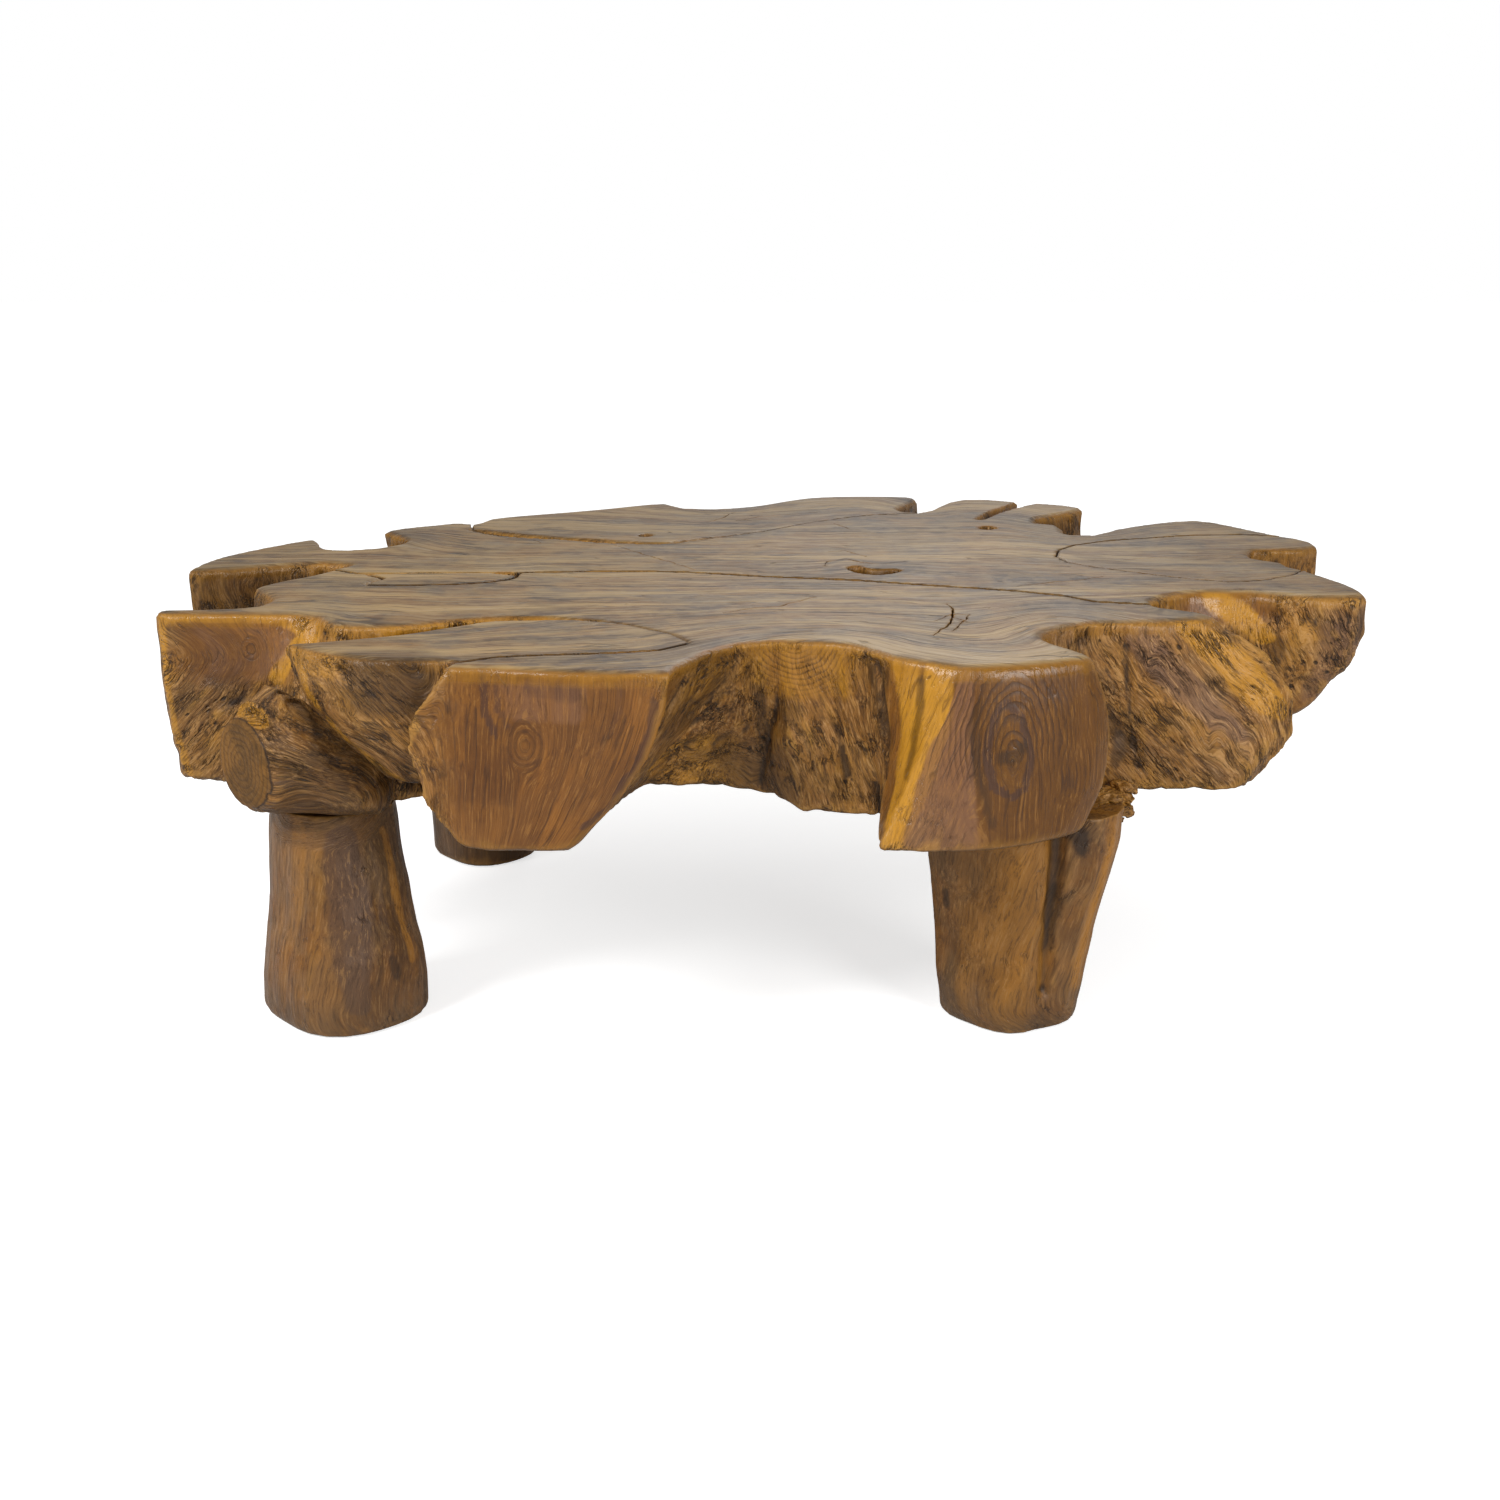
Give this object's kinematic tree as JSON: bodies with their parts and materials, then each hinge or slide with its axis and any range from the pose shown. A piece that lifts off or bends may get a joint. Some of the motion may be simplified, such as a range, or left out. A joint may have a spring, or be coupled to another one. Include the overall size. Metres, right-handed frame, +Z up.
{
  "type": "teak root coffee table",
  "caption": "Low coffee table made of a thick teak root slice with a natural lobed outline, filler roots let into its gaps, on short root legs.",
  "frame": {"origin": "on the floor, under the middle of the top's outline", "axes": "+X to the right along the table's length, +Y to the back, +Z up"},
  "size_m": [1.436, 1.0619, 0.45],
  "materials": {
    "crown_wood": "sanded and waxed top, rough oiled walls",
    "filler_wood": "sanded and waxed top, rough oiled walls",
    "root_wood": "rough, oiled",
    "leg_wood": "smoothed and oiled",
    "dowel_wood": "turned, unfinished"
  },
  "bodies": {
    "root": {"front_crown": "crown_wood", "rear_crown": "crown_wood", "rear_left_root": "crown_wood", "right_infill": "filler_wood", "front_left_infill": "filler_wood", "boat_patch": "filler_wood", "left_root_stub": "root_wood", "front_left_leg": "leg_wood", "front_right_leg": "leg_wood", "rear_left_leg": "leg_wood", "rear_right_leg": "leg_wood", "leg_dowels": "dowel_wood", "centre_seam_dowels": "dowel_wood", "rear_root_dowels": "dowel_wood", "right_infill_dowels": "dowel_wood", "front_left_infill_dowels": "dowel_wood", "stub_dowel": "dowel_wood"}
  },
  "joints": []
}
